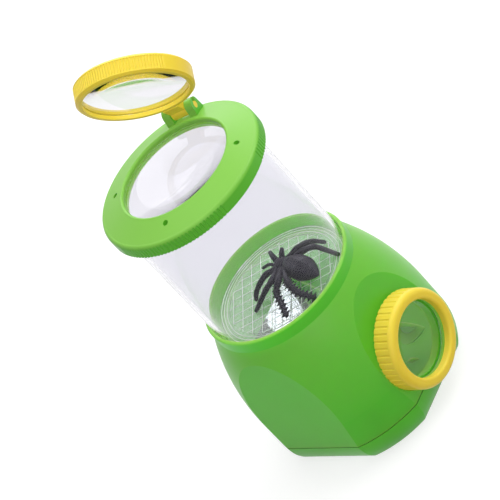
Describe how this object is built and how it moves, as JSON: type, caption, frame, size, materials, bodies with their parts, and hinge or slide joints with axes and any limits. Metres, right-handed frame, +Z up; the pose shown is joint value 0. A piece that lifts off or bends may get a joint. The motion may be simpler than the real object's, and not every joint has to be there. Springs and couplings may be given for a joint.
{
  "type": "two-way bug viewer jar",
  "caption": "Clear insect jar on a green mirror base with a yellow side eyepiece, a twist-on lens lid and a flip-up hand magnifier, holding a toy spider.",
  "frame": {"origin": "on the jar axis, at the flat underside of the base", "axes": "+Z up along the jar axis, -Y out of the eyepiece, +X to the right seen from the eyepiece"},
  "size_m": [0.0858, 0.0941, 0.2076],
  "materials": {
    "green_plastic": "satin moulded",
    "yellow_plastic": "satin moulded",
    "clear_plastic": "clear moulded plastic, faint cool tint",
    "clear_disc": "clear moulded plastic with fine grid lines",
    "lens_clear": "polished clear plastic lens",
    "mirror_silver": "mirror",
    "screw_steel": "plain",
    "spider_rubber": "satin"
  },
  "bodies": {
    "base": {"base_housing": "green_plastic", "base_tray": "green_plastic", "tray_screws": "screw_steel", "mirror_holder": "green_plastic", "mirror": "mirror_silver", "eyepiece_lens": "lens_clear", "eyepiece_clip": "green_plastic"},
    "eyepiece": {"eyepiece_ring": "yellow_plastic"},
    "jar": {"jar": "clear_plastic", "measuring_disc": "clear_disc", "toy_spider": "spider_rubber"},
    "lid": {"lid": "green_plastic", "lid_lens": "lens_clear", "lid_lens_clip": "green_plastic"},
    "magnifier": {"magnifier_frame": "yellow_plastic", "magnifier_lens": "lens_clear", "magnifier_clip": "yellow_plastic"}
  },
  "joints": [
    {"name": "eyepiece_turn", "type": "hinge", "parent": "base", "child": "eyepiece", "pos_m": [0, -0.0512, 0.031], "axis": [0, -1, 0], "range_deg": [-45, 45]},
    {"name": "jar_lift", "type": "slide", "parent": "base", "child": "jar", "axis": [0, 0, 1], "range_m": [0, 0.03]},
    {"name": "lid_lift", "type": "slide", "parent": "jar", "child": "lid", "axis": [0, 0, 1], "range_m": [0, 0.06]},
    {"name": "magnifier_hinge", "type": "hinge", "parent": "lid", "child": "magnifier", "pos_m": [0.03081, 0.01183, 0.1542], "axis": [-0.3584, 0.9336, 0], "range_deg": [-60, 90]}
  ]
}
